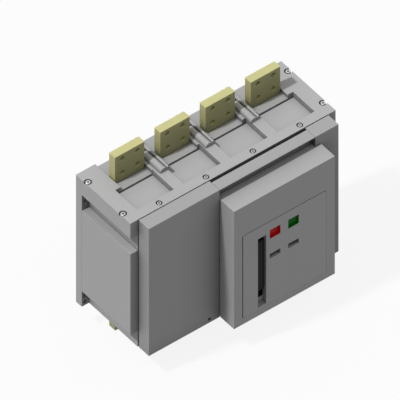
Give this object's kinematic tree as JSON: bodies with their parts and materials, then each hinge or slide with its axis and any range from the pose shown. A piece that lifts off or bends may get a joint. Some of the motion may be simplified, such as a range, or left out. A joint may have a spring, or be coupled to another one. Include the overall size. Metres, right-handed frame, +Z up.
{
  "type": "low-voltage power circuit breaker",
  "caption": "Multi-pole low-voltage circuit breaker for fixed mounting, with flat connection bars above and below, a pull-down charging handle, push buttons and status flags.",
  "frame": {"origin": "centre of the rear mounting face, at mid width and mid height of the housing", "axes": "+X to the right seen from the front, +Y back into the mounting plate, +Z up; the front is -Y"},
  "size_m": [0.59, 0.2905, 0.553],
  "materials": {
    "grey_moulding": "fine satin moulded thermoset",
    "pale_moulding": "satin moulded thermoset",
    "panel_plate": "fine matt moulded plate",
    "clear_window": "clear polycarbonate",
    "plated_copper": "pale tin-washed copper bar",
    "copper": "bare copper",
    "black_plastic": "matt black moulded plastic",
    "handle_black": "satin black glass-filled nylon",
    "zinc_steel": "zinc-plated steel",
    "spring_steel": "oiled spring steel",
    "red_button": "gloss moulded red",
    "green_button": "gloss moulded green",
    "green_flag": "printed green flag",
    "grey_flag": "plain grey flag"
  },
  "bodies": {
    "root": {"pole_housing": "grey_moulding", "insulating_wall": "pale_moulding", "side_panel_left": "grey_moulding", "side_panel_right": "grey_moulding", "front_cover_left": "grey_moulding", "front_cover_right": "grey_moulding", "mechanism_hood": "grey_moulding", "operator_panel": "grey_moulding", "panel_plate": "panel_plate", "flag_windows": "clear_window", "upper_terminal_1": "plated_copper", "upper_terminal_2": "plated_copper", "upper_terminal_3": "plated_copper", "upper_terminal_4": "plated_copper", "lower_terminal_1": "plated_copper", "lower_terminal_2": "plated_copper", "lower_terminal_3": "plated_copper", "lower_terminal_4": "plated_copper", "terminal_bolts": "zinc_steel", "fixed_contacts": "copper", "arc_chute_1": "pale_moulding", "arc_chute_2": "pale_moulding", "arc_chute_3": "pale_moulding", "arc_chute_4": "pale_moulding", "splitter_plates": "zinc_steel", "flexible_braids": "copper", "current_transformers": "black_plastic", "barrier_holder_1": "grey_moulding", "barrier_holder_2": "grey_moulding", "barrier_holder_3": "grey_moulding", "flange_screws": "zinc_steel", "wall_screws": "zinc_steel", "carrier_axles": "zinc_steel", "shaft_bearings": "pale_moulding", "mechanism_plates": "zinc_steel", "mechanism_spacers": "zinc_steel", "spring_bracket": "zinc_steel", "button_guide": "zinc_steel", "closing_spring": "spring_steel", "trip_unit": "black_plastic"},
    "main_shaft": {"main_shaft": "zinc_steel"},
    "coupling_links": {"coupling_links": "zinc_steel"},
    "contact_1": {"contact_carrier_1": "black_plastic", "contact_fingers_1": "copper"},
    "contact_2": {"contact_carrier_2": "black_plastic", "contact_fingers_2": "copper"},
    "contact_3": {"contact_carrier_3": "black_plastic", "contact_fingers_3": "copper"},
    "contact_4": {"contact_carrier_4": "black_plastic", "contact_fingers_4": "copper"},
    "charging_handle": {"charging_handle": "handle_black", "drive_pawl": "zinc_steel"},
    "camshaft": {"camshaft": "zinc_steel"},
    "spring_plunger": {"spring_plunger": "zinc_steel"},
    "off_button": {"off_button": "red_button"},
    "on_button": {"on_button": "green_button"},
    "trip_shaft": {"trip_shaft": "zinc_steel"},
    "closing_shaft": {"closing_shaft": "zinc_steel"},
    "on_off_flag": {"on_off_flag": "green_flag"},
    "spring_flag": {"spring_flag": "grey_flag"}
  },
  "joints": [
    {"name": "main_shaft_turn", "type": "hinge", "parent": "root", "child": "main_shaft", "pos_m": [0, -0.22, -0.06], "axis": [-1, 0, 0], "range_deg": [0, 15], "stiffness_Nm_per_rad": 40, "springref_deg": -8.59},
    {"name": "link_swing", "type": "hinge", "parent": "main_shaft", "child": "coupling_links", "pos_m": [0, -0.22522, -0.02034], "axis": [-1, 0, 0], "range_deg": [-15, 0]},
    {"name": "contact_turn_1", "type": "hinge", "parent": "root", "child": "contact_1", "pos_m": [-0.195, -0.112, -0.06], "axis": [-1, 0, 0], "range_deg": [0, 15], "deforming": ["flexible_braids"]},
    {"name": "contact_turn_2", "type": "hinge", "parent": "root", "child": "contact_2", "pos_m": [-0.065, -0.112, -0.06], "axis": [-1, 0, 0], "range_deg": [0, 15]},
    {"name": "contact_turn_3", "type": "hinge", "parent": "root", "child": "contact_3", "pos_m": [0.065, -0.112, -0.06], "axis": [-1, 0, 0], "range_deg": [0, 15]},
    {"name": "contact_turn_4", "type": "hinge", "parent": "root", "child": "contact_4", "pos_m": [0.195, -0.112, -0.06], "axis": [-1, 0, 0], "range_deg": [0, 15]},
    {"name": "handle_swing", "type": "hinge", "parent": "root", "child": "charging_handle", "pos_m": [0.01325, -0.257, -0.12], "axis": [1, 0, 0], "range_deg": [0, 75], "stiffness_Nm_per_rad": 1.5, "springref_deg": -17.19},
    {"name": "camshaft_turn", "type": "hinge", "parent": "root", "child": "camshaft", "pos_m": [0.0725, -0.257, -0.12], "axis": [1, 0, 0], "range_deg": [0, 75]},
    {"name": "plunger_slide", "type": "slide", "parent": "root", "child": "spring_plunger", "axis": [0, 0, 1], "range_m": [0, 0.012], "deforming": ["closing_spring"]},
    {"name": "off_button_press", "type": "slide", "parent": "root", "child": "off_button", "axis": [0, 1, 0], "range_m": [0, 0.004], "stiffness_N_per_m": 600, "springref_m": -0.004},
    {"name": "on_button_press", "type": "slide", "parent": "root", "child": "on_button", "axis": [0, 1, 0], "range_m": [0, 0.004], "stiffness_N_per_m": 600, "springref_m": -0.004},
    {"name": "trip_shaft_turn", "type": "hinge", "parent": "root", "child": "trip_shaft", "pos_m": [0.05025, -0.244, 0.018], "axis": [-1, 0, 0], "range_deg": [0, 17]},
    {"name": "closing_shaft_turn", "type": "hinge", "parent": "root", "child": "closing_shaft", "pos_m": [0.10325, -0.222, 0.018], "axis": [-1, 0, 0], "range_deg": [0, 17]},
    {"name": "on_off_flag_slide", "type": "slide", "parent": "root", "child": "on_off_flag", "axis": [0, 0, 1], "range_m": [0, 0.015]},
    {"name": "spring_flag_slide", "type": "slide", "parent": "root", "child": "spring_flag", "axis": [0, 0, 1], "range_m": [0, 0.015]}
  ],
  "couplings": [
    {"joint": "link_swing", "follows": "main_shaft_turn", "ratio": -1},
    {"joint": "contact_turn_1", "follows": "main_shaft_turn", "ratio": 1},
    {"joint": "contact_turn_2", "follows": "main_shaft_turn", "ratio": 1},
    {"joint": "contact_turn_3", "follows": "main_shaft_turn", "ratio": 1},
    {"joint": "contact_turn_4", "follows": "main_shaft_turn", "ratio": 1},
    {"joint": "camshaft_turn", "follows": "handle_swing", "ratio": 1},
    {"joint": "plunger_slide", "follows": "handle_swing", "m_per_rad": 0.009167},
    {"joint": "trip_shaft_turn", "follows": "off_button_press", "rad_per_m": 71.429},
    {"joint": "closing_shaft_turn", "follows": "on_button_press", "rad_per_m": 71.429},
    {"joint": "on_off_flag_slide", "follows": "main_shaft_turn", "m_per_rad": 0.057295},
    {"joint": "spring_flag_slide", "follows": "handle_swing", "m_per_rad": 0.011459}
  ]
}
